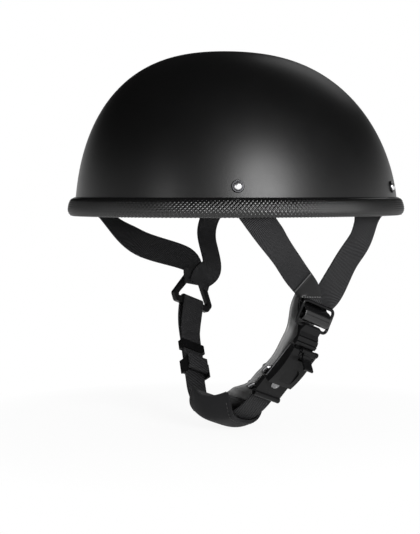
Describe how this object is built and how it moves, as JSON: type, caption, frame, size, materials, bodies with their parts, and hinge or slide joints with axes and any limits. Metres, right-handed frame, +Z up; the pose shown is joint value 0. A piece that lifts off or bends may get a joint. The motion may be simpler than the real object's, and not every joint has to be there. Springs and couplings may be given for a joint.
{
  "type": "open-face helmet",
  "caption": "Half-shell riding helmet with a beaded rim, padded liner, riveted Y-straps, a ratchet buckle that slides apart and a padded chin cup.",
  "frame": {"origin": "centre of the head opening, in the plane of the rim's lowest edge", "axes": "+Z up through the crown, front of the helmet towards -Y, the wearer's left towards +X"},
  "size_m": [0.2388, 0.2862, 0.2989],
  "materials": {
    "shell": "satin black moulded shell with a faint orange-peel",
    "trim": "black rubber edge trim, embossed with a small diamond weave",
    "foam": null,
    "padding": "black brushed tricot over comfort foam",
    "rivet_steel": "polished plated steel",
    "plain_steel": "plain zinc-plated steel",
    "webbing": "black ribbed nylon webbing",
    "ring_wire": "black lacquered wire",
    "buckle_plastic": "black moulded plastic, semi-gloss",
    "flap": "dark grey smooth vinyl over thin foam",
    "cup_skin": "black woven cover over a shaped cup",
    "cup_lining": "black padded knit lining",
    "small_rubber": "black rubber"
  },
  "bodies": {
    "root": {"shell": "shell", "edge_trim": "trim", "foam_liner": "foam", "crown_pad": "padding", "front_pad": "padding", "rear_pad": "padding", "left_pad": "padding", "right_pad": "padding", "strap_rivets": "rivet_steel", "rivet_rings": "rivet_steel", "rivet_washers": "plain_steel", "left_front_strap": "webbing", "left_rear_strap": "webbing", "right_front_strap": "webbing", "right_rear_strap": "webbing", "left_strap_loop": "webbing", "buckle_housing": "buckle_plastic", "buckle_base": "plain_steel", "lever_pin": "plain_steel", "anchor_sleeve": "buckle_plastic", "anchor_rivet": "rivet_steel", "comfort_flap": "flap", "snap_caps": "rivet_steel", "snap_studs": "plain_steel", "chin_strap": "webbing", "strap_slider": "buckle_plastic", "strap_yoke": "buckle_plastic"},
    "tongue": {"slide_ring": "ring_wire", "buckle_tongue": "buckle_plastic"},
    "lever": {"buckle_lever": "buckle_plastic"},
    "cup": {"chin_cup": "cup_skin", "cup_lining": "cup_lining"},
    "keeper": {"strap_keeper": "small_rubber"}
  },
  "joints": [
    {"name": "tongue_release", "type": "slide", "parent": "root", "child": "tongue", "axis": [0.5446, 0.2868, 0.7881], "range_m": [0, 0.024], "deforming": ["left_front_strap", "left_rear_strap", "left_strap_loop"]},
    {"name": "lever_press", "type": "hinge", "parent": "root", "child": "lever", "pos_m": [0.0751, 0.00219, -0.10383], "axis": [0, -0.9397, 0.342], "range_deg": [0, 30], "stiffness_Nm_per_rad": 0.02, "springref_deg": -20.05},
    {"name": "cup_slide", "type": "hinge", "parent": "root", "child": "cup", "pos_m": [0, -0.00323, -0.11873], "axis": [0, -0.9397, 0.342], "range_deg": [-8, 8]},
    {"name": "keeper_slide", "type": "slide", "parent": "root", "child": "keeper", "axis": [-0.5446, 0.2868, 0.7881], "range_m": [-0.008, 0.008]}
  ]
}
